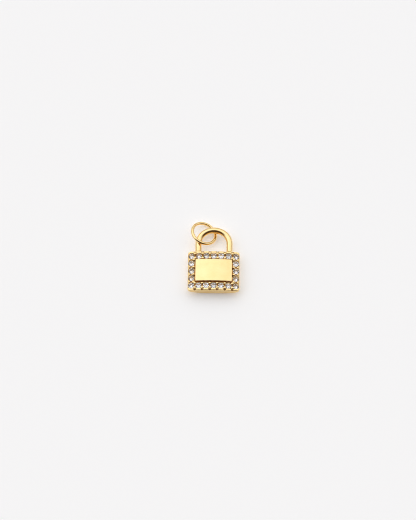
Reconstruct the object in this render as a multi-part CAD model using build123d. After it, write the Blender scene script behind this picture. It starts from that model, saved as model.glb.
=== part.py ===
from build123d import *
from math import asin, atan2, cos, radians, sin
import os

# A padlock pendant lying on its back. X runs to the right, Y towards the shackle, Z out of the front.
# The origin is the middle of the flat strip down the back. All sizes are in millimetres.

# The block is a shallow cushion: its front is domed about Y, and its back rolls up to the two sides.
body_width = 11.15
body_height = 8.9
front_height = 2.55
dome_radius = 27.0
plan_corner = 0.5
back_flat_width = 3.0
back_roll_radius = 8.0
back_edge_radius = 0.3
front_edge_radius = 0.1

# The border of stones: seven across, five down, one round brilliant at each place.
stones_across = 7
stones_down = 5
pitch_across = 1.612
pitch_down = 1.686
stone_diameter = 1.3
main_facets = 8
table_share = 0.56
star_share = 0.5
lower_share = 0.25
crown_height = 0.19
girdle_height = 0.05
pavilion_depth = 0.53
table_above_rim = 0.06

# Each stone sits in a thin collar, and each gap between two stones has an inner and an outer bead.
seat_clearance = 0.025
collar_radius = 0.75
bead_radius = 0.31
bead_crown_radius = 0.4
bead_top = 0.24
bead_offset = 0.5
side_bead_radius = 0.25
side_bead_offset = 0.43
bead_root = 0.06
valley_depth = 0.42
pit_radius = 0.23
wall_along_rows = 0.38
wall_along_sides = 0.2

# A small round notch opens the rim outside each outer bead.
notch_radius = 0.27
side_notch_radius = 0.21
notch_inset = 0.2
side_notch_inset = 0.1
notch_level = -0.08

# The plate stands above the stones inside a narrow groove.
plate_width = 7.9
plate_height = 4.97
plate_rise = 0.45
plate_corner = 0.2
plate_edge_radius = 0.09
plate_root = 1.6

# The shackle is round wire: two straight legs and a slightly flattened arch.
wire_radius = 0.675
leg_spacing = 6.74
leg_top = 6.51
arch_rise = 3.09
arch_shoulder_radius = 2.95
shackle_height = 1.45
leg_root = 3.6

# The jump ring lies over the left leg and under the arch, with its low side on the table.
ring_wire_radius = 0.335
ring_outer_diameter = 6.0
ring_centre_x = -2.21
ring_centre_y = 8.84
ring_lean = 25.4
ring_lean_towards = 36.5
ring_table_gap = 0.004
seam_width = 0.07
seam_turn = 104.0

dome_axis = front_height - dome_radius
stone_radius = stone_diameter / 2
row_y = pitch_down * (stones_down - 1) / 2
side_x = pitch_across * (stones_across - 1) / 2
tall = 8.0
hair = 0.01


def on_dome(x, y, level):
    """The place at x and y on the domed front, level above the rim."""
    return Pos(x, y, dome_axis + (dome_radius**2 - x**2) ** 0.5 + level)


def dome(level):
    """Everything under the domed front, moved up or down by level."""
    return Pos(0, 0, dome_axis) * Rot(90, 0, 0) * Cylinder(dome_radius + level, 2 * body_height)


def upright(width, height, corner, low=0):
    """A tall block from low upwards, with a rounded rectangle as its plan."""
    return Pos(0, 0, low) * extrude(RectangleRounded(width, height, corner), tall)


def block():
    """The plain cushion of the lock, with its edges rounded."""
    half_width = body_width / 2
    half_flat = back_flat_width / 2
    run = half_width - half_flat
    side_bottom = back_roll_radius - (back_roll_radius**2 - run**2) ** 0.5
    half_turn = asin(run / back_roll_radius) / 2
    mid_x = half_flat + back_roll_radius * sin(half_turn)
    mid_z = back_roll_radius * (1 - cos(half_turn))
    with BuildSketch(Plane.XZ) as section:
        with BuildLine():
            Line((-half_flat, 0), (half_flat, 0))
            ThreePointArc((half_flat, 0), (mid_x, mid_z), (half_width, side_bottom))
            Line((half_width, side_bottom), (half_width, tall))
            Line((half_width, tall), (-half_width, tall))
            Line((-half_width, tall), (-half_width, side_bottom))
            ThreePointArc((-half_width, side_bottom), (-mid_x, mid_z), (-half_flat, 0))
        make_face()
    bar = extrude(section.sketch, body_height, both=True)
    body = bar & upright(body_width, body_height, plan_corner) & dome(0)
    wall_middle = (side_bottom + side_top()) / 2
    rim = [edge for edge in body.edges() if edge.bounding_box().min.Z > wall_middle]
    body = fillet(rim, front_edge_radius)
    back = [edge for edge in body.edges() if edge.bounding_box().max.Z < wall_middle]
    return fillet([edge for edge in back if not runs_down_the_back(edge)], back_edge_radius)


def runs_down_the_back(edge):
    """True for the two lines where the flat strip meets the rolled sides."""
    return abs(abs(edge.center().X) - back_flat_width / 2) < hair and edge.length > body_height / 2


def stone_places():
    """The plan place of each stone, clockwise from the top left one."""
    across = [(i - (stones_across - 1) / 2) * pitch_across for i in range(stones_across)]
    down = [((stones_down - 1) / 2 - i) * pitch_down for i in range(1, stones_down - 1)]
    top = [(x, row_y) for x in across]
    right = [(side_x, y) for y in down]
    bottom = [(x, -row_y) for x in reversed(across)]
    left = [(-side_x, y) for y in reversed(down)]
    return top + right + bottom + left


def gaps_across():
    return [(i + 0.5 - (stones_across - 1) / 2) * pitch_across for i in range(stones_across - 1)]


def gaps_down():
    return [(i + 0.5 - (stones_down - 1) / 2) * pitch_down for i in range(stones_down - 1)]


def bead(x, y, radius):
    """One round-topped bead, whose stem ends just below the valleys. Its top is the middle of its crown."""
    root = bead_top + valley_depth + bead_root
    turn = asin(radius / bead_crown_radius)
    shoulder = (radius, -bead_crown_radius * (1 - cos(turn)))
    halfway = (bead_crown_radius * sin(turn / 2), -bead_crown_radius * (1 - cos(turn / 2)))
    with BuildSketch(Plane.XZ) as half:
        with BuildLine():
            Polyline((0, 0), (0, -root), (radius, -root), shoulder)
            ThreePointArc(shoulder, halfway, (0, 0))
        make_face()
    return on_dome(x, y, bead_top) * revolve(half.sketch, Axis.Z)


def beads():
    """An inner and an outer bead in every gap of the border."""
    rows = [
        bead(x, side * (row_y + offset), bead_radius)
        for x in gaps_across()
        for side in (1, -1)
        for offset in (bead_offset, -bead_offset)
    ]
    inner = [
        bead(side * (side_x - bead_offset), y, bead_radius) for y in gaps_down() for side in (1, -1)
    ]
    outer = [
        bead(side * (side_x + side_bead_offset), y, side_bead_radius)
        for y in gaps_down()
        for side in (1, -1)
    ]
    return rows + inner + outer


def notches():
    """The round openings in the rim outside the outer beads."""
    row_middle = body_height / 2 - notch_inset
    side_middle = body_width / 2 - side_notch_inset
    rows = [
        on_dome(x, side * row_middle, notch_level) * Sphere(notch_radius)
        for x in gaps_across()
        for side in (1, -1)
    ]
    sides = [
        on_dome(side * side_middle, y, notch_level) * Sphere(side_notch_radius)
        for y in gaps_down()
        for side in (1, -1)
    ]
    return rows + sides


def side_top():
    """The level of the domed front at the block's two sides."""
    return dome_axis + (dome_radius**2 - (body_width / 2) ** 2) ** 0.5


def valleys():
    """The low ground between the collars, and the groove round the plate."""
    width = body_width - 2 * wall_along_sides
    height = body_height - 2 * wall_along_rows
    field = upright(width, height, plan_corner) - upright(plate_width, plate_height, plate_corner)
    collars = [on_dome(x, y, 0) * Cylinder(collar_radius, tall) for x, y in stone_places()]
    return field - dome(-valley_depth) - collars


def pits():
    """The pit between each two stones, which leaves their edges bare."""
    pit = Cylinder(pit_radius, 2 * valley_depth)
    rows = [on_dome(x, side * row_y, 0) * pit for x in gaps_across() for side in (1, -1)]
    sides = [on_dome(side * side_x, y, 0) * pit for y in gaps_down() for side in (1, -1)]
    return rows + sides


def plate():
    """The raised plain plate with a softened top edge."""
    solid = upright(plate_width, plate_height, plate_corner, plate_root) & dome(plate_rise)
    edges = [edge for edge in solid.edges() if edge.bounding_box().min.Z > front_height]
    return fillet(edges, plate_edge_radius)


def girdle_level():
    """The middle of the girdle, measured from the rim."""
    return table_above_rim - crown_height - girdle_height / 2


def seat():
    """The room over and under a stone, with its clearance. Its middle is the middle of the girdle."""
    wide = stone_radius + seat_clearance
    edge = girdle_height / 2 + seat_clearance
    point = pavilion_depth + girdle_height / 2 + 2 * seat_clearance
    with BuildSketch(Plane.XZ) as half:
        with BuildLine():
            Polyline((0, -point), (wide, -edge), (wide, tall), (0, tall), (0, -point))
        make_face()
    return revolve(half.sketch, Axis.Z)


def seats():
    tool = seat()
    return [on_dome(x, y, girdle_level()) * tool for x, y in stone_places()]


def around(radius, turn, height):
    """A point at radius and turn, in degrees, at that height."""
    return Vector(radius * cos(radians(turn)), radius * sin(radians(turn)), height)


def brilliant():
    """A round brilliant with flat facets. Its middle is the middle of the girdle."""
    step = 360 / main_facets
    half = step / 2
    girdle = girdle_height / 2
    top = girdle + crown_height
    culet = Vector(0, 0, -girdle - pavilion_depth)
    table_radius = stone_radius * table_share
    star_radius = table_radius + star_share * (stone_radius - table_radius)
    star_run = (star_radius * cos(radians(half)) - table_radius) / (stone_radius - table_radius)
    star_height = top - star_run * crown_height
    lower_radius = lower_share * stone_radius
    lower_height = culet.Z + lower_radius * cos(radians(half)) / stone_radius * pavilion_depth
    facets = [[around(table_radius, step * k, top) for k in range(main_facets)]]
    for k in range(main_facets):
        turn = step * k
        table_here = around(table_radius, turn, top)
        table_next = around(table_radius, turn + step, top)
        star = around(star_radius, turn + half, star_height)
        star_before = around(star_radius, turn - half, star_height)
        lower = around(lower_radius, turn + half, lower_height)
        lower_before = around(lower_radius, turn - half, lower_height)
        up = [around(stone_radius, turn + half * i, girdle) for i in range(3)]
        down = [around(stone_radius, turn + half * i, -girdle) for i in range(3)]
        facets += [
            [table_here, star, table_next],
            [table_here, star_before, up[0], star],
            [star, up[0], up[1]],
            [star, up[1], up[2]],
            [up[0], down[0], down[1], up[1]],
            [up[1], down[1], down[2], up[2]],
            [lower, down[1], down[0]],
            [lower, down[2], down[1]],
            [culet, lower, down[0], lower_before],
        ]
    return Solid(Shell([Face(Wire.make_polygon(points)) for points in facets]))


def shackle():
    """Two legs and an arch of three arcs that run into each other."""
    half = leg_spacing / 2
    crown_radius = (half**2 + arch_rise**2 - 2 * half * arch_shoulder_radius) / (
        2 * (arch_rise - arch_shoulder_radius)
    )
    shoulder_x = half - arch_shoulder_radius
    meet = atan2(crown_radius - arch_rise, shoulder_x)
    meet_x = shoulder_x + arch_shoulder_radius * cos(meet)
    meet_y = leg_top + arch_shoulder_radius * sin(meet)
    mid_x = shoulder_x + arch_shoulder_radius * cos(meet / 2)
    mid_y = leg_top + arch_shoulder_radius * sin(meet / 2)
    with BuildLine(Plane.XY.offset(shackle_height)) as path:
        Line((-half, leg_root), (-half, leg_top))
        ThreePointArc((-half, leg_top), (-mid_x, mid_y), (-meet_x, meet_y))
        ThreePointArc((-meet_x, meet_y), (0, leg_top + arch_rise), (meet_x, meet_y))
        ThreePointArc((meet_x, meet_y), (mid_x, mid_y), (half, leg_top))
        Line((half, leg_top), (half, leg_root))
    foot = Plane((-half, leg_root, shackle_height), x_dir=(1, 0, 0), z_dir=(0, 1, 0))
    return sweep(foot * Circle(wire_radius), path=path.wires()[0])


def jump_ring():
    """Round wire bent to a ring, with the two ends all but touching."""
    radius = ring_outer_diameter / 2 - ring_wire_radius
    wire = Torus(radius, ring_wire_radius)
    past_wire = 4 * ring_wire_radius
    seam = Rot(0, 0, seam_turn) * Pos(radius, 0, 0) * Box(past_wire, seam_width, past_wire)
    lift = ring_table_gap + ring_wire_radius + radius * sin(radians(ring_lean))
    place = Pos(ring_centre_x, ring_centre_y, lift)
    lean = Rot(0, 0, ring_lean_towards) * Rot(0, ring_lean, 0)
    return place * lean * (wire - seam)


def lock_body():
    """The whole casting, with room cut for every stone."""
    metal = block() - valleys() - pits() - notches()
    metal = metal + plate() + shackle() + beads()
    return metal - seats()


def main():
    os.makedirs("parts", exist_ok=True)
    export_step(lock_body(), "parts/lock_body.step")
    stone = brilliant()
    for number, (x, y) in enumerate(stone_places(), start=1):
        export_step(on_dome(x, y, girdle_level()) * stone, f"parts/stone_{number:02d}.step")
    export_step(jump_ring(), "parts/jump_ring.step")


main()
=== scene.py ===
import math
import random

import bmesh
import bpy
from mathutils import Matrix, Vector


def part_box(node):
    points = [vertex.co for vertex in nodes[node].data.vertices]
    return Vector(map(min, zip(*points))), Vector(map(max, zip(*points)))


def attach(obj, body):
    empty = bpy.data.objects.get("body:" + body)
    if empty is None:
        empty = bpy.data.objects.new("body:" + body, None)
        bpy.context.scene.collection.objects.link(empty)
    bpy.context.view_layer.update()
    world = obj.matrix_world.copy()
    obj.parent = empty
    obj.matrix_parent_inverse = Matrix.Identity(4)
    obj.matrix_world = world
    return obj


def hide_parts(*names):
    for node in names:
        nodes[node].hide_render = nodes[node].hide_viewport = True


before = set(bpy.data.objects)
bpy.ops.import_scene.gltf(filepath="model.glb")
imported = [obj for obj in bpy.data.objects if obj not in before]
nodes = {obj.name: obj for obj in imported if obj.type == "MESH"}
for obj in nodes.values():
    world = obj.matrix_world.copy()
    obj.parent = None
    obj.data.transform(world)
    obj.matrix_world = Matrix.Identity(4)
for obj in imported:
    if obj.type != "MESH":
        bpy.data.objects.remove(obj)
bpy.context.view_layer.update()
mm = 0.001
print("frame loaded:", len(nodes), "nodes")


# small helpers

nearness = {
    "merge": 0.0001 * mm,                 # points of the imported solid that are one
    "cut": 0.00001 * mm,
    "mirror": 0.001 * mm,
    "weld": 0.0005 * mm,
}


def newObject(name, bm, material=None, smooth=True):
    mesh = bpy.data.meshes.new(name)
    bm.to_mesh(mesh)
    bm.free()
    mesh.polygons.foreach_set("use_smooth", [smooth] * len(mesh.polygons))
    obj = bpy.data.objects.new(name, mesh)
    bpy.context.collection.objects.link(obj)
    if material:
        mesh.materials.append(material)
    return obj


def applyModifiers(obj):
    graph = bpy.context.evaluated_depsgraph_get()
    done = bpy.data.meshes.new_from_object(obj.evaluated_get(graph))
    obj.modifiers.clear()
    old = obj.data
    obj.data = done
    bpy.data.meshes.remove(old)


def newVerts(result):
    return [v for v in result["geom"] if isinstance(v, bmesh.types.BMVert)]


def newEdges(result, key="geom"):
    return [e for e in result[key] if isinstance(e, bmesh.types.BMEdge)]


def cutOff(bm, point, normal):
    cut = bmesh.ops.bisect_plane(
        bm, geom=bm.verts[:] + bm.edges[:] + bm.faces[:], dist=nearness["cut"],
        plane_co=point, plane_no=normal, clear_outer=True)
    return newEdges(cut, "geom_cut")


def sharpEdges(bm, angle):
    return [e for e in bm.edges if e.calc_face_angle(0) > angle]


def roundOff(bm, edges, reach, steps):
    bmesh.ops.bevel(
        bm, geom=edges, affect="EDGES", offset=reach, segments=steps, profile=0.5, material=-1)


def dressed(piece, node):
    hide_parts(node)
    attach(piece, "root")
    print(piece.name + ":", len(piece.data.polygons), "faces")


# materials

def newMaterial(name):
    mat = bpy.data.materials.new(name)
    mat.use_nodes = True
    tree = mat.node_tree
    tree.nodes.clear()
    out = tree.nodes.new("ShaderNodeOutputMaterial")
    shader = tree.nodes.new("ShaderNodeBsdfPrincipled")
    tree.links.new(shader.outputs[0], out.inputs["Surface"])
    return mat, tree, shader


def objectNoise(tree, scale, detail):
    coord = tree.nodes.new("ShaderNodeTexCoord")
    noise = tree.nodes.new("ShaderNodeTexNoise")
    noise.inputs["Scale"].default_value = scale
    noise.inputs["Detail"].default_value = detail
    tree.links.new(coord.outputs["Object"], noise.inputs["Vector"])
    return noise.outputs["Fac"]


def ramp(tree, source, stops):
    node = tree.nodes.new("ShaderNodeValToRGB")
    for element, (place, colour) in zip(node.color_ramp.elements, stops):
        element.position = place
        element.color = (*colour, 1.0)
    tree.links.new(source, node.inputs["Fac"])
    return node.outputs["Color"]


def remap(tree, source, span, result=(0.0, 1.0), curve="LINEAR"):
    node = tree.nodes.new("ShaderNodeMapRange")
    node.interpolation_type = curve
    for socket, value in zip(("From Min", "From Max", "To Min", "To Max"), (*span, *result)):
        node.inputs[socket].default_value = value
    tree.links.new(source, node.inputs["Value"])
    return node.outputs["Result"]


def blendColours(tree, share, below, above):
    mix = tree.nodes.new("ShaderNodeMix")
    mix.data_type = "RGBA"
    tree.links.new(share, mix.inputs[0])
    for socket, value in ((mix.inputs[6], below), (mix.inputs[7], above)):
        if isinstance(value, tuple):
            socket.default_value = (*value, 1.0)
        else:
            tree.links.new(value, socket)
    return mix.outputs[2]


goldTone = {
    "bright": (0.98, 0.745, 0.385),
    "deep": (0.96, 0.70, 0.335),
    "edge": (1.0, 0.93, 0.80),            # gold stays yellow where it is seen at a glancing angle
    "patchScale": 420.0,
    "patchDetail": 3.0,
    "patches": (0.30, 0.62),              # noise levels where the tone is deep and bright
    "paintedShadeAndResidue": (0.57, 0.34, 0.14),         # painted shade in the deepest corners, mixed with polish and dirt left there
    "paintedShadeReach": 0.38 * mm,
    "paintedShadeSpan": (0.30, 0.86),           # openness where the painted shade is full and where it is gone
    "paintedShadeSamples": 8,
    "polishScale": 1500.0,
    "polishDetail": 4.0,
    "polishSpan": (0.3, 0.7),
    "skinDetail": 3.0,
}
castLook = {"rough": (0.09, 0.17), "skinScale": 2600.0, "skinDepth": 0.006 * mm, "skin": 0.35}
wireLook = {"rough": (0.10, 0.17), "skinScale": 1700.0, "skinDepth": 0.004 * mm, "skin": 0.25}
plateLook = {"rough": (0.09, 0.15), "skinScale": 500.0, "skinDepth": 0.006 * mm, "skin": 0.15}


def goldMaterial(name, look, withPaintedShade=False):
    mat, tree, shader = newMaterial(name)
    shader.inputs["Metallic"].default_value = 1.0
    shader.inputs["Specular Tint"].default_value = (*goldTone["edge"], 1.0)
    patches = objectNoise(tree, goldTone["patchScale"], goldTone["patchDetail"])
    colour = ramp(tree, patches, zip(goldTone["patches"], (goldTone["deep"], goldTone["bright"])))
    # painted shade: ambient occlusion darkens the gold to brown where it is closed in, standing
    # for shade there as well as polish residue
    if withPaintedShade:
        shade = tree.nodes.new("ShaderNodeAmbientOcclusion")
        shade.samples = goldTone["paintedShadeSamples"]
        shade.inputs["Distance"].default_value = goldTone["paintedShadeReach"]
        openness = remap(tree, shade.outputs["AO"], goldTone["paintedShadeSpan"])
        colour = blendColours(tree, openness, goldTone["paintedShadeAndResidue"], colour)
    tree.links.new(colour, shader.inputs["Base Color"])
    polish = objectNoise(tree, goldTone["polishScale"], goldTone["polishDetail"])
    rough = remap(tree, polish, goldTone["polishSpan"], look["rough"])
    tree.links.new(rough, shader.inputs["Roughness"])
    skin = objectNoise(tree, look["skinScale"], goldTone["skinDetail"])
    bump = tree.nodes.new("ShaderNodeBump")
    bump.inputs["Strength"].default_value = look["skin"]
    bump.inputs["Distance"].default_value = look["skinDepth"]
    tree.links.new(skin, bump.inputs["Height"])
    tree.links.new(bump.outputs["Normal"], shader.inputs["Normal"])
    return mat


# the foil is the silver coat under each stone
stoneLook = {"tint": (0.985, 0.975, 0.97), "index": 1.78, "roughness": 0.005}
dullLook = {"tint": (0.80, 0.79, 0.78), "index": 1.78, "roughness": 0.01}
foilLook = {"colour": (0.96, 0.96, 0.97), "roughness": 0.04}


def stoneMaterial(name, look):
    mat, tree, shader = newMaterial(name)
    shader.inputs["Base Color"].default_value = (*look["tint"], 1.0)
    shader.inputs["Transmission Weight"].default_value = 1.0
    shader.inputs["IOR"].default_value = look["index"]
    shader.inputs["Roughness"].default_value = look["roughness"]
    return mat


def foilMaterial(name, look):
    mat, tree, shader = newMaterial(name)
    shader.inputs["Base Color"].default_value = (*look["colour"], 1.0)
    shader.inputs["Metallic"].default_value = 1.0
    shader.inputs["Roughness"].default_value = look["roughness"]
    return mat


castGold = goldMaterial("castGold", castLook, withPaintedShade=True)
wireGold = goldMaterial("wireGold", wireLook)
plateGold = goldMaterial("plateGold", plateLook)
clearStone = stoneMaterial("clearStone", stoneLook)
dullStone = stoneMaterial("dullStone", dullLook)
silverFoil = foilMaterial("silverFoil", foilLook)
print("materials made")


# the casting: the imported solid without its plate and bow, softened as a plated casting is

castingSizes = {
    "topWall": 4.47 * mm,                 # the bow is cut off just past this
    "frontHeight": 2.55 * mm,
    "domeRadius": 27 * mm,
    "stub": 0.12 * mm,                    # what stays of the plate, above the front
    "plateRoom": 0.02 * mm,
    "voxel": 0.031 * mm,
    "smoothing": 4,
    "smoothBy": 0.5,
    "keep": 0.225,                        # share of the faces that stays
    "halfWidth": 5.575 * mm,
    "halfHeight": 4.45 * mm,
    "rimReach": 0.42 * mm,                # the rim rolls off over this last stretch before a wall
    "rimFall": 0.03 * mm,
    "sideReach": 0.55 * mm,
    "sideFall": 0.13 * mm,
    "fade": 0.52 * mm,                    # the walls keep their form below this depth
    "wornAbove": 0.08 * mm,               # beads are rubbed flatter above this level
    "wornTo": 0.85,
}


def frontAt(x):
    radius = castingSizes["domeRadius"]
    return castingSizes["frontHeight"] - radius + math.sqrt(radius ** 2 - x * x)


def lowerPlate(bm, sizes):
    reachX = plateSizes["width"] / 2 + sizes["plateRoom"]
    reachY = plateSizes["height"] / 2 + sizes["plateRoom"]
    for vert in bm.verts:
        if abs(vert.co.x) < reachX and abs(vert.co.y) < reachY:
            vert.co.z = min(vert.co.z, frontAt(vert.co.x) + sizes["stub"])


def softenFront(bm, sizes):
    for vert in bm.verts:
        front = frontAt(vert.co.x)
        level = vert.co.z - front
        if level < -sizes["fade"]:
            continue
        if level > sizes["wornAbove"]:
            level = sizes["wornAbove"] + (level - sizes["wornAbove"]) * sizes["wornTo"]
        nearRow = max(0, 1 - (sizes["halfHeight"] - abs(vert.co.y)) / sizes["rimReach"])
        nearSide = max(0, 1 - (sizes["halfWidth"] - abs(vert.co.x)) / sizes["sideReach"])
        fall = math.hypot(sizes["rimFall"] * nearRow ** 2, sizes["sideFall"] * nearSide ** 2)
        vert.co.z = front + level - fall * min(1, 1 + level / sizes["fade"])


def thinOut(obj, keep):
    dense = bpy.data.objects.new("dense", obj.data.copy())
    bpy.context.collection.objects.link(dense)
    thin = obj.modifiers.new("thin", "DECIMATE")
    thin.ratio = keep
    # the thinned faces keep the dense ones' shading
    carry = obj.modifiers.new("shading", "DATA_TRANSFER")
    carry.object = dense
    carry.use_loop_data = True
    carry.data_types_loops = {"CUSTOM_NORMAL"}
    carry.loop_mapping = "POLYINTERP_NEAREST"
    applyModifiers(obj)
    bpy.data.meshes.remove(dense.data)


def makeCasting(sizes):
    bm = bmesh.new()
    bm.from_mesh(nodes["lock_body"].data)
    bmesh.ops.remove_doubles(bm, verts=bm.verts, dist=nearness["merge"])
    bmesh.ops.holes_fill(bm, edges=cutOff(bm, (0, sizes["topWall"], 0), (0, 1, 0)), sides=0)
    lowerPlate(bm, sizes)
    casting = newObject("lockCasting", bm)
    remesh = casting.modifiers.new("voxels", "REMESH")
    remesh.mode = "VOXEL"
    remesh.voxel_size = sizes["voxel"]
    smooth = casting.modifiers.new("soften", "SMOOTH")
    smooth.factor = sizes["smoothBy"]
    smooth.iterations = sizes["smoothing"]
    applyModifiers(casting)
    bm = bmesh.new()
    bm.from_mesh(casting.data)
    softenFront(bm, sizes)
    bm.to_mesh(casting.data)
    bm.free()
    casting.data.polygons.foreach_set("use_smooth", [True] * len(casting.data.polygons))
    thinOut(casting, sizes["keep"])
    casting.data.materials.clear()
    casting.data.materials.append(castGold)
    return casting


# the plain plate, a domed block with crisp but rounded edges

plateSizes = {
    "width": 7.9 * mm,
    "height": 4.97 * mm,
    "rise": 0.45 * mm,
    "root": 0.55 * mm,                    # how far it goes down into the casting
    "corner": 0.2 * mm,
    "cornerSteps": 6,
    "edge": 0.09 * mm,
    "edgeSteps": 5,
    "sharp": 1.2,                         # edges that turn more than this, in radians, are rounded
    "across": 48,
    "down": 28,
}


def makePlate(sizes):
    bm = bmesh.new()
    bmesh.ops.create_grid(bm, x_segments=sizes["across"], y_segments=sizes["down"], size=0.5)
    bmesh.ops.scale(bm, verts=bm.verts, vec=(sizes["width"], sizes["height"], 1))
    raised = bmesh.ops.extrude_face_region(bm, geom=bm.faces[:])
    bmesh.ops.translate(bm, verts=newVerts(raised), vec=(0, 0, sizes["root"] + sizes["rise"]))
    bmesh.ops.recalc_face_normals(bm, faces=bm.faces)
    sharp = sharpEdges(bm, sizes["sharp"])
    corners = [e for e in sharp if abs(e.verts[0].co.z - e.verts[1].co.z) > sizes["rise"]]
    roundOff(bm, corners, sizes["corner"], sizes["cornerSteps"])
    sharp = sharpEdges(bm, sizes["sharp"])
    rim = [e for e in sharp if min(v.co.z for v in e.verts) > sizes["rise"]]
    roundOff(bm, rim, sizes["edge"], sizes["edgeSteps"])
    for vert in bm.verts:
        vert.co.z += frontAt(vert.co.x) - sizes["root"]
    return newObject("namePlate", bm, plateGold)


# the bow: round wire, two legs and an arch of three arcs, with a little solder at each foot

bowSizes = {
    "wire": 0.675 * mm,
    "around": 36,
    "height": 1.45 * mm,
    "halfSpacing": 3.37 * mm,
    "foot": 4.1 * mm,
    "legTop": 6.51 * mm,
    "rise": 3.09 * mm,
    "shoulder": 2.95 * mm,
    "shoulderSteps": 22,
    "crownSteps": 14,
    "solder": [                           # place along the leg, and how much thicker it is there
        (4.42 * mm, 1.26),
        (4.50 * mm, 1.13),
        (4.58 * mm, 1.045),
        (4.70 * mm, 1.0),
    ],
}


def makeBow(sizes):
    half, height = sizes["halfSpacing"], sizes["height"]
    shoulder, rise = sizes["shoulder"], sizes["rise"]
    crown = (half ** 2 + rise ** 2 - 2 * half * shoulder) / (2 * (rise - shoulder))
    turn = math.atan2(crown - rise, half - shoulder)      # where the shoulder meets the crown
    bm = bmesh.new()
    ring = bmesh.ops.create_circle(bm, segments=sizes["around"], radius=sizes["wire"])["verts"]
    foot = Matrix.Translation((half, sizes["foot"], height))
    upright = Matrix.Rotation(math.pi / 2, 4, "X")
    bmesh.ops.transform(bm, verts=ring, matrix=foot @ upright)
    loop, swell = bm.edges[:], 1.0
    for place, nextSwell in sizes["solder"] + [(sizes["legTop"], 1.0)]:
        step = bmesh.ops.extrude_edge_only(bm, edges=loop)
        moved, loop = newVerts(step), newEdges(step)
        bmesh.ops.translate(bm, verts=moved, vec=(0, place - moved[0].co.y, 0))
        middle = Matrix.Translation((half, place, height))
        swollen = middle @ Matrix.Scale(nextSwell / swell, 4) @ middle.inverted()
        bmesh.ops.transform(bm, verts=moved, matrix=swollen)
        swell = nextSwell
    shoulderArc = (half - shoulder, sizes["legTop"], height), turn, sizes["shoulderSteps"]
    crownArc = (0, sizes["legTop"] + rise - crown, height), math.pi / 2 - turn, sizes["crownSteps"]
    for centre, angle, steps in (shoulderArc, crownArc):
        swept = bmesh.ops.spin(
            bm, geom=loop, cent=centre, axis=(0, 0, 1), dvec=(0, 0, 0), angle=angle, steps=steps)
        loop = newEdges(swept, "geom_last")
    whole = bm.verts[:] + bm.edges[:] + bm.faces[:]
    bmesh.ops.mirror(bm, geom=whole, axis="X", merge_dist=nearness["mirror"])
    bmesh.ops.remove_doubles(bm, verts=bm.verts, dist=nearness["weld"])
    bmesh.ops.holes_fill(bm, edges=[e for e in bm.edges if e.is_boundary], sides=0)
    bmesh.ops.recalc_face_normals(bm, faces=bm.faces)
    return newObject("bow", bm, wireGold)


# the stones, each cut plane by plane from a round blank, as on a lap

stoneSizes = {
    "radius": 0.65 * mm,
    "blankSides": 48,
    "blankDepth": 2.6 * mm,
    "table": 0.36 * mm,                   # how far the table's edges lie from the middle
    "crown": 0.19 * mm,
    "girdle": 0.05 * mm,
    "pavilion": 0.53 * mm,
    "foilSlope": -0.3,                    # faces that look down more than this are coated
    "mains": 8,
    "lean": 1.0,                          # share of the dome's slope that a stone leans with
    "stray": 7.0,                         # degrees that a stone may sit off true
    "dull": ("stone_03", "stone_06", "stone_14"),
    "seed": 7,
}


def cutFacet(bm, point, normal):
    edges = cutOff(bm, point, normal)
    if edges:
        bmesh.ops.edgenet_fill(bm, edges=edges)


def makeStone(name, sizes, dice):
    low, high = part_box(name)
    x, y = (low.x + high.x) / 2, (low.y + high.y) / 2
    radius, halfGirdle = sizes["radius"], sizes["girdle"] / 2
    crownSlope = math.atan2(sizes["crown"], radius - sizes["table"])
    pavilionSlope = math.atan2(sizes["pavilion"], radius)
    bm = bmesh.new()
    bmesh.ops.create_cone(
        bm, cap_ends=True, cap_tris=False, segments=sizes["blankSides"],
        radius1=radius, radius2=radius, depth=sizes["blankDepth"])
    cutFacet(bm, (0, 0, halfGirdle + sizes["crown"]), (0, 0, 1))
    for k in range(sizes["mains"]):
        turn = 2 * math.pi * k / sizes["mains"]
        outward = Vector((math.cos(turn), math.sin(turn), 0))
        for slope, side in ((crownSlope, 1), (pavilionSlope, -1)):
            normal = outward * math.sin(slope) + Vector((0, 0, side * math.cos(slope)))
            cutFacet(bm, outward * radius + Vector((0, 0, side * halfGirdle)), normal)
    lean = sizes["lean"] * math.asin(x / castingSizes["domeRadius"])
    lean += math.radians(dice.uniform(-1, 1) * sizes["stray"])
    nod = math.radians(dice.uniform(-1, 1) * sizes["stray"])
    turned = dice.uniform(0, 2 * math.pi / sizes["mains"])
    place = Matrix.Translation((x, y, high.z - sizes["crown"] - halfGirdle))
    place = place @ Matrix.Rotation(lean, 4, "Y")
    place = place @ Matrix.Rotation(nod, 4, "X")
    place = place @ Matrix.Rotation(turned, 4, "Z")
    bmesh.ops.transform(bm, verts=bm.verts, matrix=place)
    bmesh.ops.recalc_face_normals(bm, faces=bm.faces)
    for face in bm.faces:
        face.material_index = int(face.normal.z < sizes["foilSlope"])
    glass = dullStone if name in sizes["dull"] else clearStone
    stone = newObject(name.replace("stone", "cutStone"), bm, glass, smooth=False)
    stone.data.materials.append(silverFoil)
    return stone


dressed(makeCasting(castingSizes), "lock_body")
dressed(makePlate(plateSizes), "lock_body")
dressed(makeBow(bowSizes), "lock_body")

dice = random.Random(stoneSizes["seed"])
for name in sorted(nodes):
    if name.startswith("stone_"):
        dressed(makeStone(name, stoneSizes, dice), name)
nodes["jump_ring"].data.materials[0] = wireGold
print("pieces dressed")


# floor, light and camera

floorSizes = {"reach": 600 * mm, "drop": 0.01 * mm}
clothLook = {
    "white": (0.975, 0.98, 1.0),
    "roughness": 0.9,
    "shine": 0.1,
    "glow": 0.25,                         # stands for light that comes up through it
}


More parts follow.
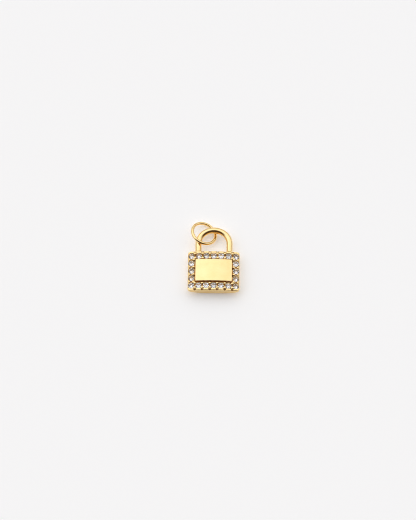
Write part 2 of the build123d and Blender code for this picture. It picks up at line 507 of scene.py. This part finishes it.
def makeFloor(sizes, look):
    mat, tree, shader = newMaterial("paleCloth")
    shader.inputs["Base Color"].default_value = (*look["white"], 1.0)
    shader.inputs["Roughness"].default_value = look["roughness"]
    shader.inputs["Specular IOR Level"].default_value = look["shine"]
    shader.inputs["Emission Color"].default_value = (1.0, 1.0, 1.0, 1.0)
    shader.inputs["Emission Strength"].default_value = look["glow"]
    bm = bmesh.new()
    bmesh.ops.create_grid(bm, x_segments=1, y_segments=1, size=sizes["reach"])
    bmesh.ops.translate(bm, verts=bm.verts, vec=(0, 0, -sizes["drop"]))
    return newObject("paleFloor", bm, mat)


makeFloor(floorSizes, clothLook)

lightLook = {
    "zenith": (1.16, 1.17, 1.16),
    "horizon": (0.56, 0.53, 0.48),
    "skySpread": (0.08, 0.80),            # heights, as sines, where the sky is dim and full
    "window": (1.31, 1.32, 1.36),
    "windowFrom": (-0.46, 0.36, 0.81),    # a soft light from above and a little left
    "windowSpread": (0.72, 0.98),         # cosines where its glow begins and is full
    "shade": (0.075, 0.045, 0.022),
    "shadeFrom": (0.16, -0.92, 0.36),     # the dark side of the room, behind the viewer
    "shadeSpread": (0.18, 0.66),
}


def glow(tree, direction, spread):
    coord = tree.nodes.new("ShaderNodeTexCoord")
    dot = tree.nodes.new("ShaderNodeVectorMath")
    dot.operation = "DOT_PRODUCT"
    dot.inputs[1].default_value = Vector(direction).normalized()
    tree.links.new(coord.outputs["Generated"], dot.inputs[0])
    return remap(tree, dot.outputs["Value"], spread, curve="SMOOTHERSTEP")


def makeWorld(look):
    world = bpy.data.worlds.new("studio")
    bpy.context.scene.world = world
    world.use_nodes = True
    tree = world.node_tree
    tree.nodes.clear()
    out = tree.nodes.new("ShaderNodeOutputWorld")
    back = tree.nodes.new("ShaderNodeBackground")
    overhead = glow(tree, (0, 0, 1), look["skySpread"])
    window = glow(tree, look["windowFrom"], look["windowSpread"])
    shade = glow(tree, look["shadeFrom"], look["shadeSpread"])
    sky = blendColours(tree, overhead, look["horizon"], look["zenith"])
    sky = blendColours(tree, window, sky, look["window"])
    sky = blendColours(tree, shade, sky, look["shade"])
    tree.links.new(sky, back.inputs["Color"])
    tree.links.new(back.outputs[0], out.inputs["Surface"])


makeWorld(lightLook)

cameraSizes = {
    "elevation": 70.0,
    "roll": 0.85,
    "distance": 450 * mm,
    "nearest": 10 * mm,
    "farthest": 10.0,
    "sensor": 36.0,
    "pixelsPerMm": 4.64,
    "imageWidth": 416,
    "imageHeight": 520,
    "lockAt": (213.65, 270.4),            # where the middle of the lock's front is in the picture
    "lockMiddle": (0, 0, 2.5 * mm),
}


def makeCamera(sizes):
    lift, turn = math.radians(sizes["elevation"]), math.radians(sizes["roll"])
    back = Vector((0, -math.cos(lift), math.sin(lift)))
    level, rise = Vector((1, 0, 0)), Vector((0, math.sin(lift), math.cos(lift)))
    right = level * math.cos(turn) + rise * math.sin(turn)
    up = rise * math.cos(turn) - level * math.sin(turn)
    pixelsPerMetre = sizes["pixelsPerMm"] / mm
    aim = Vector(sizes["lockMiddle"])
    aim += right * (sizes["imageWidth"] / 2 - sizes["lockAt"][0]) / pixelsPerMetre
    aim += up * (sizes["lockAt"][1] - sizes["imageHeight"] / 2) / pixelsPerMetre
    data = bpy.data.cameras.new("camera")
    data.sensor_width = sizes["sensor"]
    data.lens = pixelsPerMetre * sizes["distance"] * sizes["sensor"] / sizes["imageHeight"]
    data.clip_start, data.clip_end = sizes["nearest"], sizes["farthest"]
    camera = bpy.data.objects.new("camera", data)
    bpy.context.collection.objects.link(camera)
    turned = Matrix((right, up, back)).transposed().to_4x4()
    camera.matrix_world = Matrix.Translation(aim + back * sizes["distance"]) @ turned
    bpy.context.scene.camera = camera


makeCamera(cameraSizes)

lightPaths = {"bounces": 24, "throughStones": 20, "betweenGold": 12, "filterWidth": 1.0}
scene = bpy.context.scene
scene.view_settings.view_transform = "Standard"
scene.cycles.max_bounces = lightPaths["bounces"]
scene.cycles.transmission_bounces = lightPaths["throughStones"]
scene.cycles.glossy_bounces = lightPaths["betweenGold"]
scene.cycles.filter_width = lightPaths["filterWidth"]
print("stage set")
